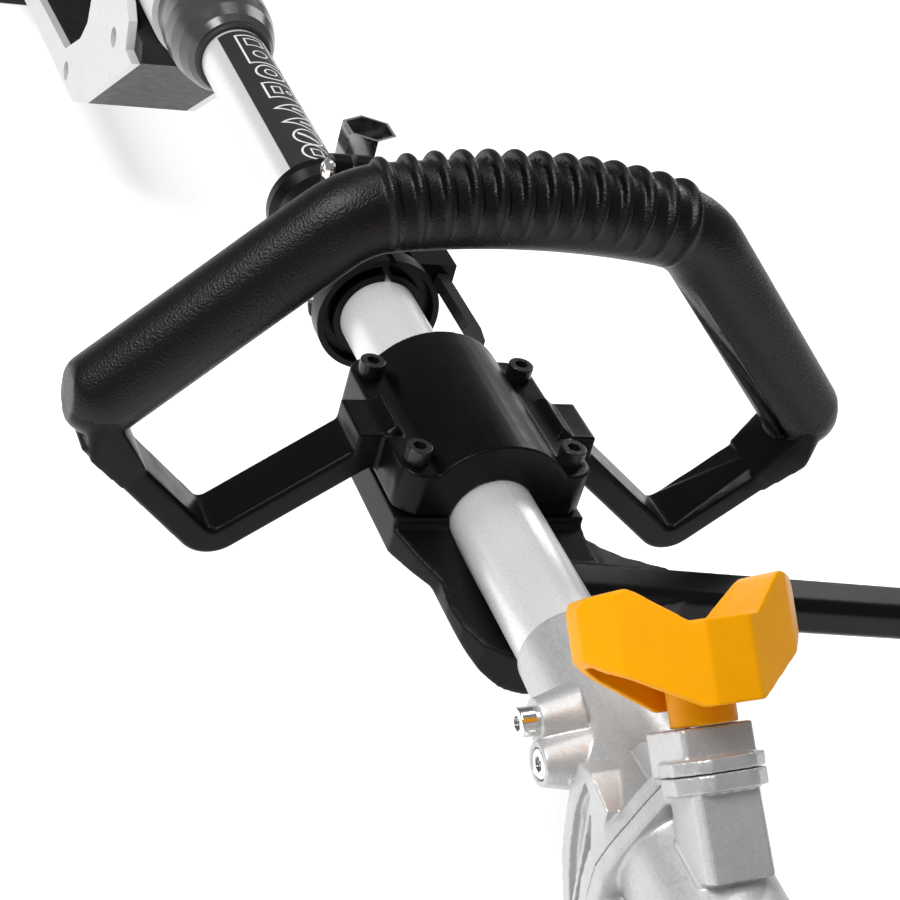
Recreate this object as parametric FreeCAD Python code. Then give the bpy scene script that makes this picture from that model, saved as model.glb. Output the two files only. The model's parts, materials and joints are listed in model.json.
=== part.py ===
import FreeCAD, Part
import math
import os

# Folding battery string trimmer, lying with its shaft level.
# Everything is drawn about the shaft axis: X runs forward along the shaft to the cutting head,
# Y to the operator's left and Z up, with zero at the middle of the loop-handle clamp.
# save() then moves each piece so that the frame's origin is the harness eye's hole.

V = FreeCAD.Vector
os.makedirs("parts", exist_ok=True)

# ---- driving dimensions, mm ----
TUBE_R = 14.0
TUBE_WALL = 1.5
TUBE_X0 = -375.0
CLAMPED = 0.05            # radial clearance of a clamp or bush on its tube or shaft
SHAFT_R = 4.0
EYE = V(-140, 0, -30)     # harness eye's hole, measured from the clamp's middle
FLOOR_Z = -140.0          # what the machine lies on

# loop handle
LOOP_X = 1.3
GRIP_R = 13.5
GRIP_END = (55.9, 88.0)   # Y and Z of the upper corners
GRIP_TOP_Z = 95.5
ELBOW = (121.0, 22.1)     # centre of the grip's round lower end
ARM_TOP = (123.5, 11.4)   # where the flat arm's middle line leaves the elbow
HEEL = (81.4, -28.5)
ARM_T = 9.4
ARM_HX = 10.0
RIB_PITCH = 8.0
RIB_COUNT = 13
CLAMP_HX = 32.9
CLAMP_HY = 32.3
CLAMP_TOP = 15.4
CLAMP_CAP_R = 26.7
BOLT_X = 23.6
BOLT_Y = 26.35
BAR_HX = 8.3              # half depth and half height of the barrier bar
BAR_HZ = 7.0

# fold joint, drawn upright and then turned on the tube by JOINT_ROLL degrees
JOINT_ROLL = 7.0
PART_X = 175.0            # parting plane between the two castings
PART_GAP = 0.3
HINGE_Z = -38.0
HINGE_R = 9.0
PIN_R = 4.0
LUG_HY = 9.8
FORK_HY = 20.0
EAR_BEND_Z = 26.7         # height where the parting plane turns back to the ear plane
KNOB_S = 8.4              # from that bend to the knob's axis, along the ear plane
EAR_LEN = 20.0
EAR_HY = 13.0
EAR_T = 3.6
KNOB_BOSS_H = 11.4
KNOB_REST = 3.0           # how far the tightened knob has turned, degrees

# lower shaft and cutting head
LOWER_TUBE_X0 = 190.0
LOWER_TUBE_X1 = 870.0
GEAR_X = 905.0            # where the tube axis meets the output axis
HEAD_TILT = 30.0          # output axis, degrees from straight down
PINION_TEETH = 15
GEAR_TEETH = 21
CONE_L = 18.0             # pitch cone distance at the teeth's outer end
GUARD_R = 150.0
HEAD_R = 57.0

# rear unit
BARREL_R = 24.6
CORE_HY = 24.5
COVER_T = 4.0
MOTOR_HY = 44.0


# ---- small helpers ----
def cyl_x(x0, x1, r, y=0.0, z=0.0):
    return Part.makeCylinder(r, x1 - x0, V(x0, y, z), V(1, 0, 0))


def cyl_y(y0, y1, r, x=0.0, z=0.0):
    return Part.makeCylinder(r, y1 - y0, V(x, y0, z), V(0, 1, 0))


def cyl_z(z0, z1, r, x=0.0, y=0.0):
    return Part.makeCylinder(r, z1 - z0, V(x, y, z0), V(0, 0, 1))


def box(x0, x1, y0, y1, z0, z1):
    return Part.makeBox(x1 - x0, y1 - y0, z1 - z0, V(x0, y0, z0))


def face_of(points):
    return Part.Face(Part.makePolygon(points + [points[0]]))


def prism_xz(points, y0, y1):
    return face_of([V(x, y0, z) for x, z in points]).extrude(V(0, y1 - y0, 0))


def prism_xy(points, z0, z1):
    return face_of([V(x, y, z0) for x, y in points]).extrude(V(0, 0, z1 - z0))


def prism_yz(points, x0, x1):
    return face_of([V(x0, y, z) for y, z in points]).extrude(V(x1 - x0, 0, 0))


def turned_x(points):
    """Solid of revolution about X from (x, r) points that start and end on the axis."""
    return face_of([V(x, 0, r) for x, r in points]).revolve(V(0, 0, 0), V(1, 0, 0), 360)


def turned_z(points):
    """Solid of revolution about Z from (r, z) points."""
    return face_of([V(r, 0, z) for r, z in points]).revolve(V(0, 0, 0), V(0, 0, 1), 360)


def ring_x(x0, x1, r_out, r_in):
    return cyl_x(x0, x1, r_out).cut(cyl_x(x0 - 1, x1 + 1, r_in))


def ring_z(z0, z1, r_out, r_in):
    return cyl_z(z0, z1, r_out).cut(cyl_z(z0 - 1, z1 + 1, r_in))


def hexagon(across_flats, z0, z1):
    r = across_flats / math.sqrt(3)
    points = [(r * math.cos(math.radians(a)), r * math.sin(math.radians(a))) for a in range(0, 360, 60)]
    return prism_xy(points, z0, z1)


def fused(first, *rest):
    return first.multiFuse(list(rest)).removeSplitter()


def cut(shape, *tools):
    return shape.cut(list(tools))


def moved(shape, x=0.0, y=0.0, z=0.0):
    copy = shape.copy()
    copy.translate(V(x, y, z))
    return copy


def spun(shape, centre, axis, degrees):
    copy = shape.copy()
    copy.rotate(centre, axis, degrees)
    return copy


def mirrored_y(shape):
    return shape.mirror(V(0, 0, 0), V(0, 1, 0))


def rounded_edges(shape, radius, wanted):
    edges = [edge for edge in shape.Edges if wanted(edge)]
    return shape.makeFillet(radius, edges)


def runs_along(edge, direction):
    if edge.Curve.TypeId != "Part::GeomLine":
        return False
    return abs(abs(edge.tangentAt(edge.FirstParameter).dot(direction)) - 1) < 1e-6


def group(shapes):
    return Part.makeCompound(shapes)


def save(name, shape):
    """Write one piece with the frame's origin at the harness eye."""
    out = moved(shape, -EYE.x, -EYE.y, -EYE.z)
    out.exportStep("parts/%s.step" % name)


def on_joint(shape):
    """Turn a piece of the fold joint on the tube."""
    return spun(shape, V(0, 0, 0), V(1, 0, 0), JOINT_ROLL)


def on_head(shape):
    """Carry a piece drawn about Z, with zero at the gear centre, to the tilted output axis."""
    return moved(spun(shape, V(0, 0, 0), V(0, 1, 0), -HEAD_TILT), GEAR_X)


def on_knob(shape):
    """Carry a piece drawn about Z, with zero on the ear plane, to the knob's axis."""
    return moved(spun(shape, V(0, 0, 0), V(0, 1, 0), -45), KNOB_X, 0, KNOB_Z)


KNOB_X = PART_X + KNOB_S * math.sqrt(0.5)
KNOB_Z = EAR_BEND_Z + KNOB_S * math.sqrt(0.5)


def socket_screw(head_r, head_h, shank_r, length, key):
    """Cap screw along -Z with the underside of its head at zero."""
    body = fused(cyl_z(0, head_h, head_r), cyl_z(-length, 0.5, shank_r))
    body = rounded_edges(body, 0.5, lambda e: abs(e.BoundBox.ZMin - head_h) < 1e-4 and e.BoundBox.ZLength < 1e-4)
    return body.cut(hexagon(key, head_h * 0.48, head_h + 1))


def button_screw(length):
    return socket_screw(4.75, 2.8, 2.5, length, 3.0)


def rounded_path(points, radii):
    """Wire of straight runs and tangent arcs through 3-D points, one radius per inner point."""
    edges = []
    start = points[0]
    for before, corner, after, radius in zip(points, points[1:], points[2:], radii):
        back = (before - corner).normalize()
        ahead = (after - corner).normalize()
        half = back.getAngle(ahead) / 2
        reach = radius / math.tan(half)
        middle = (back + ahead).normalize() * (radius / math.sin(half) - radius)
        enter = corner + back * reach
        leave = corner + ahead * reach
        edges.append(Part.LineSegment(start, enter).toShape())
        edges.append(Part.Arc(enter, corner + middle, leave).toShape())
        start = leave
    edges.append(Part.LineSegment(start, points[-1]).toShape())
    return Part.Wire(edges)


def swept(path, profile):
    return path.makePipeShell([profile], True, False)


def round_profile(centre, direction, radius):
    return Part.Wire([Part.Circle(centre, direction, radius).toShape()])


# ---- upper tube and what sits on it ----
def upper_tube():
    return ring_x(TUBE_X0, 160, TUBE_R, TUBE_R - TUBE_WALL)


def pictogram_label():
    """Thin printed sleeve patch on top of the tube."""
    sleeve = ring_x(-283, -171, TUBE_R + 0.25, TUBE_R)
    wedge = prism_yz([(0, 0), (-30, 30), (30, 30), (30, 21)], -300, -150)
    return sleeve.common(wedge)


def shaft_bushes(places):
    return group([ring_x(x, x + 12, TUBE_R - TUBE_WALL - CLAMPED, SHAFT_R + CLAMPED) for x in places])


# ---- harness clamp ----
CLIP_X0 = -163.0
CLIP_X1 = -84.0
CLIP_EAR_X = -139.0
CLIP_EAR_Z = 27.5
SPANNER_Y = 24.6
SPANNER_Z = 10.0


def harness_clamp():
    body = turned_x([(CLIP_X0, 0), (CLIP_X0, 19.5), (CLIP_X0 + 4, 19.5), (CLIP_X0 + 8, 17.5),
                     (CLIP_X1 - 14, 17.5), (CLIP_X1 - 8, 22.3), (CLIP_X1, 22.5), (CLIP_X1, 20.3),
                     (CLIP_X1 - 4, 19.6), (CLIP_X1 - 4, 17.0), (CLIP_X1, 16.6), (CLIP_X1, 0)])
    ears = fused(cyl_y(-8, 8, 6, CLIP_EAR_X, CLIP_EAR_Z), box(CLIP_EAR_X - 6, CLIP_EAR_X + 6, -8, 8, 12, CLIP_EAR_Z))
    keeper = box(-112, -94, 14, 29.5, 4, 16)
    lug = box(EYE.x - 10, EYE.x + 10, -4, 4, -21, -10)
    body = fused(body, ears, keeper, lug)
    body = cut(body, cyl_x(CLIP_X0 - 1, CLIP_X1 + 1, TUBE_R + CLAMPED), box(CLIP_X0 - 1, CLIP_X1 + 1, -1.2, 1.2, 10, 40))
    body = cut(body, box(-115, -90, SPANNER_Y - 2.4, SPANNER_Y + 2.4, SPANNER_Z - 2.9, SPANNER_Z + 2.9))
    body = cut(body, cyl_y(-20, 20, 2.55, CLIP_EAR_X, CLIP_EAR_Z))
    return cut(body, box(EYE.x - 8.1, EYE.x + 8.1, -1.55, 1.55, -21.5, -15.9))


def harness_clamp_screw():
    screw = turned_z([(0, 2.9), (2.6, 2.5), (4.2, 1.2), (4.4, 0), (2.5, 0), (2.5, -19), (0, -19)])
    slot = fused(box(-2.4, 2.4, -0.5, 0.5, 1.6, 4), box(-0.5, 0.5, -2.4, 2.4, 1.6, 4))
    screw = spun(screw.cut(slot), V(0, 0, 0), V(1, 0, 0), 90)
    return moved(screw, CLIP_EAR_X, -8, CLIP_EAR_Z)


def harness_eye():
    """Steel plate let into the clamp's lug, with the carabiner hole at the frame's origin."""
    plate = fused(cyl_y(-1.5, 1.5, 10, EYE.x, EYE.z), box(EYE.x - 8, EYE.x + 8, -1.5, 1.5, EYE.z, -16))
    return plate.cut(cyl_y(-5, 5, 5.0, EYE.x, EYE.z))


def spanner_socket():
    outer = hexagon(19.0, -26, 21.5)
    inner = hexagon(16.6, -30, 30)
    slot = box(-20, 20, -2.05, 2.05, SPANNER_Z - 2.55, SPANNER_Z + 2.55)
    return moved(cut(outer, inner, slot), -187, SPANNER_Y)


def spanner_bar():
    bar = box(-204, -58, SPANNER_Y - 2, SPANNER_Y + 2, SPANNER_Z - 2.5, SPANNER_Z + 2.5)
    blade = prism_xy([(-58, SPANNER_Y - 2), (-50, SPANNER_Y - 0.6), (-50, SPANNER_Y + 0.6), (-58, SPANNER_Y + 2)],
                     SPANNER_Z - 2.5, SPANNER_Z + 2.5)
    return fused(bar, blade)


# ---- loop handle and barrier bar ----
def grip_point(y):
    """Centre of the gently arched grip at Y, and its angle to Y in radians."""
    rise = GRIP_TOP_Z - GRIP_END[1]
    radius = (GRIP_END[0] ** 2 + rise ** 2) / (2 * rise)
    drop = radius - math.sqrt(radius ** 2 - y ** 2)
    return V(LOOP_X, y, GRIP_TOP_Z - drop), math.asin(y / radius)


def loop_grip():
    """Round upper part of the loop, from one elbow over the top to the other."""
    arch = grip_point(0)[0]
    points = [V(LOOP_X, -ELBOW[0], ELBOW[1]), V(LOOP_X, -GRIP_END[0], GRIP_END[1])]
    points += [V(LOOP_X, 0, arch.z)] + [V(LOOP_X, -p.y, p.z) for p in reversed(points)]
    path = rounded_path(points, [30, 320, 30])
    pipe = swept(path, round_profile(points[0], points[1] - points[0], GRIP_R - 0.3))
    ends = [Part.makeSphere(GRIP_R - 0.3, points[0]), Part.makeSphere(GRIP_R - 0.3, points[-1])]
    ribs = []
    for number in range(RIB_COUNT):
        centre, angle = grip_point((number - (RIB_COUNT - 1) / 2) * RIB_PITCH)
        ribs.append(Part.makeTorus(GRIP_R - 0.9, 1.7, centre, V(0, math.cos(angle), -math.sin(angle))))
    return [pipe] + ends + ribs


def arm_outline(half_x, half_u, corner):
    """Corners of a bar section with cut corners, across X and across the bar."""
    return [(-half_x, -half_u + corner), (-half_x + corner, -half_u), (half_x - corner, -half_u),
            (half_x, -half_u + corner), (half_x, half_u - corner), (half_x - corner, half_u),
            (-half_x + corner, half_u), (-half_x, half_u - corner)]


def loop_arm():
    """Flat-sided lower arm on the -Y side, from the clamp to the elbow."""
    points = [V(LOOP_X, -26, 14.8), V(LOOP_X, -HEEL[0], HEEL[1]), V(LOOP_X, -ARM_TOP[0], ARM_TOP[1])]
    path = rounded_path(points, [7.5])
    along = (points[1] - points[0]).normalize()
    across = V(1, 0, 0)
    up = along.cross(across)
    corners = [points[0] + across * a + up * b for a, b in arm_outline(ARM_HX, ARM_T / 2, 1.2)]
    root = box(LOOP_X - ARM_HX, LOOP_X + ARM_HX, -41, -30, 2.5, CLAMP_TOP)
    return fused(swept(path, Part.makePolygon(corners + [corners[0]])), root)


def clamp_plan(x0, x1, z0, z1):
    block = box(x0, x1, -CLAMP_HY, CLAMP_HY, z0, z1)
    return rounded_edges(block, 8, lambda e: runs_along(e, V(0, 0, 1)))


def clamp_bolt_places():
    return [(x, y) for x in (-BOLT_X, BOLT_X) for y in (-BOLT_Y, BOLT_Y)]


def loop_handle():
    arm = loop_arm()
    cap = cyl_x(-CLAMP_HX, CLAMP_HX, CLAMP_CAP_R).common(box(-40, 40, -40, 40, 0.3, 40))
    arm = arm.cut(box(-60, 60, -60, 60, -60, 0.3).common(box(-60, 60, -34, 34, -60, 0.3)))
    body = fused(clamp_plan(-CLAMP_HX, CLAMP_HX, 0.3, CLAMP_TOP), cap, arm, mirrored_y(arm), *loop_grip())
    body = cut(body, cyl_x(-50, 50, TUBE_R + CLAMPED), box(-50, 50, -40, 40, -60, 0.3).common(cyl_x(-50, 50, 34)))
    return cut(body, *[cyl_z(-5, 25, 2.8, x, y) for x, y in clamp_bolt_places()])


def barrier_bar():
    """Lower clamp half with a nose under the tube and the bar out to the left."""
    right = [(-32.9, -26), (-27, -CLAMP_HY), (34, -CLAMP_HY), (44, -28), (54, -22.5), (63, -22.8), (72, -21), (80, -16.5),
             (84.5, -10), (86, -2)]
    left = [(85.5, 6), (82, 16), (72, 26), (64, CLAMP_HY), (-27, CLAMP_HY), (-32.9, 26)]
    plan = prism_xy(right + left, -30, -0.3)
    section = fused(box(-40, 95, -CLAMP_HY, CLAMP_HY, -13, -0.3), cyl_x(-40, 95, CLAMP_CAP_R))
    hub = plan.common(section)
    hub = hub.cut(prism_xz([(33.3, 1), (33.3, -3.5), (60, -9), (88, -12.5), (88, 1)], -40, 40))
    root, tip = V(55.5, 20, -11.2), V(55.5, 245, -33.5)
    along = (tip - root).normalize()
    across = V(1, 0, 0)
    up = across.cross(along)
    corners = [root + across * a + up * b for a, b in arm_outline(BAR_HX, BAR_HZ, 3.0)]
    bar = face_of(corners).extrude(tip - root)
    gusset = prism_xy([(34, 24), (80, 10), (72, 30), (63, 60), (47.2, 60), (42, 44), (37, 37), (34, 34)], -21.5, -7.5)
    gusset = gusset.cut(prism_yz([(0, -4), (60, -9.8), (70, 0), (0, 0)], 0, 100))
    end = cyl_x(55.5 - BAR_HX, 55.5 + BAR_HX, BAR_HZ, tip.y, tip.z)
    body = fused(hub, bar, gusset, end)
    body = cut(body, cyl_x(-50, 100, TUBE_R + CLAMPED))
    for x, y in clamp_bolt_places():
        nut_pocket = spun(hexagon(8.2, -40, -8.9), V(0, 0, 0), V(0, 0, 1), 30)
        body = cut(body, cyl_z(-40, 5, 2.8, x, y), moved(nut_pocket, x, y))
    return body


def handle_screws():
    screw = socket_screw(4.25, 5.0, 2.5, 29, 4.0)
    return group([moved(screw, x, y, CLAMP_TOP) for x, y in clamp_bolt_places()])


def handle_nuts():
    nut = spun(hexagon(8.0, -12.8, -8.9), V(0, 0, 0), V(0, 0, 1), 30).cut(cyl_z(-20, 0, 2.5))
    return group([moved(nut, x, y) for x, y in clamp_bolt_places()])


# ---- fold joint ----
def flange_outline():
    """Pear-shaped flange in Y and Z: round the tube, wide at the hinge, narrow at the ear."""
    side = [(19, HINGE_Z), (22.5, -24), (23.7, -12), (23.4, -2), (20.6, 5.2), (14, 17.3), (10, 24), (10, EAR_BEND_Z)]
    return side + [(-y, z) for y, z in reversed(side)]


def ear_block(t0, t1, s0):
    """Ear from s0 forward on the ear plane, from t0 to t1 along the knob's axis."""
    front = EAR_LEN - KNOB_S
    plan = [(s0, -10), (-KNOB_S + 1, -10), (-3, -EAR_HY), (5, -EAR_HY), (front - 1.5, -8), (front, -5),
            (front, 5), (front - 1.5, 8), (5, EAR_HY), (-3, EAR_HY), (-KNOB_S + 1, 10), (s0, 10)]
    return on_knob(prism_xy(plan, t0, t1))


def upper_boss():
    """Faceted boss under the knob, wider at the back."""
    plan = [(-12, -11), (-8, -12.7), (6.2, -10.2), (7.2, -9.2), (7.2, 9.2), (6.2, 10.2), (-8, 12.7), (-12, 11)]
    return on_knob(prism_xy(plan, 0, KNOB_BOSS_H))


def lower_column():
    """Tall column under the lower ear; its front face leans out a little toward the sleeve."""
    top = [(-6.9, -9.5), (6.2, -9.5), (8.6, -8), (8.6, 8), (6.2, 9.5), (-6.9, 9.5)]
    low = [(-6.9, -9.5), (7.6, -9.5), (10, -8), (10, 8), (7.6, 9.5), (-6.9, 9.5)]
    wires = [Part.makePolygon([V(x, y, z) for x, y in plan + [plan[0]]]) for plan, z in ((top, -PART_GAP), (low, -27))]
    return on_knob(Part.makeLoft(wires, True, True))


def side_pocket():
    """Leaf-shaped recess in the upper casting's side, with a thin rib left standing in it."""
    leaf = prism_xz([(156, 9), (154.5, -4), (156, -14), (158.5, -22), (163, -31), (167.5, -36), (167.8, -8), (164, 2),
                     (160, 8)], -30, -17.6)
    rib = prism_xz([(160.5, 10), (161.8, 10), (165.2, -34), (163.9, -34)], -30, -17.6)
    return leaf.cut(rib)


def side_screw_place(number):
    """X and Z of the two side screws, and the Y of their seats."""
    return [(131.0, 8.4, -25.0), (141.4, 2.5, -27.0)][number]


def upper_joint_casting():
    sleeve = turned_x([(96, 0), (96, 15.3), (112, 16.0), (135, 17.0), (150, 18.0), (165, 19.0), (PART_X - 4.5, 20.0),
                       (PART_X - 4.5, 0)])
    flange = prism_yz(flange_outline(), PART_X - 4.5, PART_X)
    ear = ear_block(0, EAR_T, -KNOB_S - 1.8)
    web = prism_xz([(152, 12), (PART_X, 12), (PART_X, EAR_BEND_Z), (KNOB_X - 6, KNOB_Z + 1), (164, 29), (157, 22)], -8, 8)
    web = web.common(prism_xz([(130, 0), (PART_X, 0), (PART_X, EAR_BEND_Z), (215, EAR_BEND_Z + 40), (130, 90)], -20, 20))
    skirt = prism_xz([(151, 11), (149.5, -2), (151.2, -13), (153.2, -21.4), (159.2, -33), (165, -42),
                      (PART_X - 4.5, -42), (PART_X - 4.5, 12), (158, 14)], -20.6, 20.6)
    skirt = skirt.common(cyl_x(140, 180, 45.5)).cut(cyl_x(140, 180, 15))
    lug = fused(cyl_y(-LUG_HY, LUG_HY, HINGE_R, PART_X, HINGE_Z),
                box(160, PART_X, -LUG_HY, LUG_HY, HINGE_Z - 3, -15))
    body = fused(sleeve, flange, ear, upper_boss(), web, skirt.cut(fused(side_pocket(), mirrored_y(side_pocket()))), lug)
    for x, z, seat in (side_screw_place(0), side_screw_place(1)):
        boss = Part.makeCone(9.5, 6.2, -seat - 13, V(x, -13, z), V(0, -1, 0))
        body = fused(body, boss)
    clear = HINGE_R + 0.5
    body = cut(body, cyl_y(LUG_HY + 0.1, 40, clear, PART_X, HINGE_Z), cyl_y(-40, -LUG_HY - 0.1, clear, PART_X, HINGE_Z))
    body = cut(body, cyl_x(90, 160, TUBE_R), cyl_x(150, 185, 12.4), cyl_y(-30, 30, PIN_R, PART_X, HINGE_Z))
    for number in (0, 1):
        x, z, seat = side_screw_place(number)
        body = cut(body, cyl_y(-40, -5, 2.5, x, z))
    x, z, seat = side_screw_place(1)
    body = cut(body, cyl_y(seat - 1, seat + 5.2, 4.6, x, z))
    return cut(body, on_knob(cyl_z(-5, 20, 4.3)))


def upper_joint_screws():
    """One screw stands on its boss, the other is sunk in its boss."""
    screw = spun(socket_screw(4.25, 5.0, 2.5, 7.5, 4.0), V(0, 0, 0), V(1, 0, 0), 90)
    first, second = side_screw_place(0), side_screw_place(1)
    return group([moved(screw, first[0], first[2], first[1]), moved(screw, second[0], second[2] + 5.2, second[1])])


def lower_joint_casting():
    start = PART_X + PART_GAP
    sleeve = turned_x([(start, 0), (start, 19.5), (182, 18.4), (205, 18.0), (250, 17.3), (256, 16.5), (256, 0)])
    flange = prism_yz(flange_outline(), start, start + 5)
    ear = ear_block(-EAR_T - 0.9 - PART_GAP, -PART_GAP, -KNOB_S + 0.3)
    fork = fused(cyl_y(-FORK_HY, FORK_HY, HINGE_R, PART_X, HINGE_Z),
                 box(start, 186, -FORK_HY, FORK_HY, HINGE_Z, -10))
    seat = fused(cyl_y(-26, 0, 6.2, 215, 0), cyl_y(-26, 0, 6.2, 238, 0))
    body = fused(sleeve, flange, ear, lower_column(), fork, seat)
    front_only = prism_xz([(start, -20), (start, EAR_BEND_Z - 0.1), (235, EAR_BEND_Z + 59.6), (300, 90), (300, -20)], -60, 60)
    low = fused(box(start, 300, -60, 60, -60, -20), cyl_y(-FORK_HY, FORK_HY, HINGE_R, PART_X, HINGE_Z))
    body = body.common(fused(front_only, low))
    body = cut(body, cyl_y(-LUG_HY - 0.2, LUG_HY + 0.2, HINGE_R + 0.5, PART_X, HINGE_Z))
    body = cut(body, box(160, start + 12, -LUG_HY - 0.2, LUG_HY + 0.2, HINGE_Z - 12, HINGE_Z + 8))
    body = cut(body, cyl_y(-30, 30, PIN_R + 0.12, PART_X, HINGE_Z))
    for side in (-1, 1):
        body = cut(body, cyl_y(*sorted((side * (FORK_HY + 0.05), side * 35)), PIN_R + 2.3, PART_X, HINGE_Z))
    body = cut(body, cyl_x(LOWER_TUBE_X0, 260, TUBE_R), cyl_x(170, 200, 12.4))
    body = cut(body, cyl_y(-40, -5, 2.5, 215, 0), cyl_y(-40, -5, 2.5, 238, 0))
    seat_cone = turned_z([(0, -9), (0, 5), (12, 5), (5, -2), (5, -9)])
    return cut(body, on_knob(seat_cone))


def hinge_pin():
    pin = cyl_y(-FORK_HY - 2.5, FORK_HY + 2.5, PIN_R, PART_X, HINGE_Z)
    heads = [cyl_y(side, side + 2.2, PIN_R + 2, PART_X, HINGE_Z) for side in (-FORK_HY - 2.5, FORK_HY + 0.3)]
    return fused(pin, *heads)


def lock_bolt():
    """Knob bolt with a cone point that sits in the lower ear."""
    return on_knob(turned_z([(0, -4.4), (1.2, -4.4), (4.0, -1.6), (4.0, 27), (0, 27)]))


def wing_plan(inset):
    """Knob outline seen along its axis: a prow to the front and two swept wings; corners move in by inset."""
    side = [(20, -6.2), (9, -24.5), (0.5, -31.2), (-6, -31.2), (-9.5, -25), (-11, -8)]
    if inset:
        side = [(17, -5.2), (7.2, -22.4), (-0.2, -28.7), (-3.9, -28.7), (-7.0, -23.6), (-8.7, -7)]
    return side + [(x, -y) for x, y in reversed(side)]


def lock_knob():
    """Wing knob, hollow underneath: sleeve, prow and two raised wings with cross ribs."""
    outer = [(8, 16.2), (27.5, 28.2), (31.6, 31.6), (32, 43), (29.5, 46.3), (22, 47.6), (19.8, 46.4), (9.5, 37.6)]
    inner = [(7.6, 10), (28.6, 10), (29.2, 41.5), (27.5, 43.3), (21.5, 43.6), (10.4, 34.0)]
    body = prism_xy(wing_plan(0), 10, 60).common(prism_yz(outer + [(-y, z) for y, z in reversed(outer)], -20, 30))
    hollow = prism_xy(wing_plan(1), 5, 60).common(prism_yz(inner + [(-y, z) for y, z in reversed(inner)], -20, 30))
    sleeve = cyl_z(KNOB_BOSS_H + 0.3, 36, 8.7)
    ribs = [box(-9, 15, y - 0.8, y + 0.8, 33, 47) for y in (-21.5, -14.5, 14.5, 21.5)]
    spine = box(-1, 1, -30, 30, 36, 47)
    fill = fused(spine, *ribs).common(body)
    body = fused(body.cut(hollow), fill, sleeve)
    body = spun(cut(body, cyl_z(5, 27.1, 4.06)), V(0, 0, 0), V(0, 0, 1), KNOB_REST)
    return on_knob(body)


# ---- drive line ----
def dogs(x0, x1, first_angle):
    teeth = []
    for angle in (first_angle, first_angle + 180):
        sector = Part.makeCylinder(9, x1 - x0, V(x0, 0, 0), V(1, 0, 0), 70)
        teeth.append(spun(sector.cut(cyl_x(x0 - 1, x1 + 1, 3.6)), V(0, 0, 0), V(1, 0, 0), angle))
    return teeth


def upper_coupling():
    hub = fused(cyl_x(145, 171, 9), *dogs(170.5, 176.5, 0))
    return hub.cut(cyl_x(140, 165, SHAFT_R))


def lower_coupling():
    hub = fused(cyl_x(179, 202, 9), *dogs(173.5, 179.5, 90))
    return hub.cut(cyl_x(186, 210, SHAFT_R))


def bevel_tooth(apex_angle, root, tip, half_root, half_tip):
    """Tapered tooth about X, pointing back from the apex at zero, on a cone of apex_angle degrees."""
    wires = []
    for length in (CONE_L, CONE_L * 0.66):
        k = length / CONE_L
        along = V(-math.cos(math.radians(apex_angle)), 0, math.sin(math.radians(apex_angle))) * length
        out = V(math.sin(math.radians(apex_angle)), 0, math.cos(math.radians(apex_angle)))
        corners = [along + out * (root * k) + V(0, half_root * k, 0), along + out * (tip * k) + V(0, half_tip * k, 0),
                   along + out * (tip * k) - V(0, half_tip * k, 0), along + out * (root * k) - V(0, half_root * k, 0)]
        wires.append(Part.makePolygon(corners + [corners[0]]))
    return Part.makeLoft(wires, True, True)


def bevel_gear(teeth, apex_angle, first_angle, back):
    """Bevel gear about X with its apex at zero; the teeth are thin enough to run with play."""
    angle = math.radians(apex_angle)
    big, small = CONE_L, CONE_L * 0.66
    root = -1.3

    def cone_point(length):
        k = length / CONE_L
        x = -length * math.cos(angle) + root * k * math.sin(angle)
        r = length * math.sin(angle) + root * k * math.cos(angle)
        return (x, r)

    (x1, r1), (x0, r0) = cone_point(big), cone_point(small)
    blank = turned_x([(x0, 0), (x0, r0), (x1, r1), (x1 - back, r1 * 0.86), (x1 - back, 0)])
    tooth = bevel_tooth(apex_angle, root - 0.3, 0.75, 1.05, 0.5)
    step = 360.0 / teeth
    rack = [spun(tooth, V(0, 0, 0), V(1, 0, 0), first_angle + step * n) for n in range(teeth)]
    return fused(blank, *rack)


def pitch_angles():
    """Pitch cone angles of pinion and gear for a shaft angle of 90 + HEAD_TILT degrees."""
    shaft = math.radians(90 + HEAD_TILT)
    pinion = math.atan(math.sin(shaft) / (GEAR_TEETH / PINION_TEETH + math.cos(shaft)))
    return math.degrees(pinion), 90 + HEAD_TILT - math.degrees(pinion)


def pinion():
    gear = bevel_gear(PINION_TEETH, pitch_angles()[0], 180, 3)
    hub = cyl_x(-24, -14, 8)
    return moved(fused(gear, hub).cut(cyl_x(-40, -15, SHAFT_R)), GEAR_X)


def output_gear():
    """Drawn about X with the apex at zero, then stood on the output axis, a gap facing the pinion."""
    gear = bevel_gear(GEAR_TEETH, pitch_angles()[1], 180.0 / GEAR_TEETH, 4).cut(cyl_x(-40, 5, 5.0))
    upright = spun(gear, V(0, 0, 0), V(0, 1, 0), -90)
    return on_head(upright)


def upper_drive_shaft():
    return cyl_x(-641, 165, SHAFT_R)


def lower_drive_shaft():
    return cyl_x(186, GEAR_X - 15, SHAFT_R)


def output_shaft():
    return on_head(fused(cyl_z(-66, -3.2, 5.0), cyl_z(-44, -41.2, 9.5)))


# ---- lower tube, gear head and guard ----
def lower_tube():
    return ring_x(LOWER_TUBE_X0, LOWER_TUBE_X1, TUBE_R, TUBE_R - TUBE_WALL)


def lower_clamp_screws():
    screw = spun(socket_screw(4.25, 5.0, 2.5, 7.5, 4.0), V(0, 0, 0), V(1, 0, 0), 90)
    joint = [on_joint(moved(screw, x, -26, 0)) for x in (215, 238)]
    head = [moved(screw, x, -25, 0) for x in (848, 864)]
    return group(joint + head)


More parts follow.
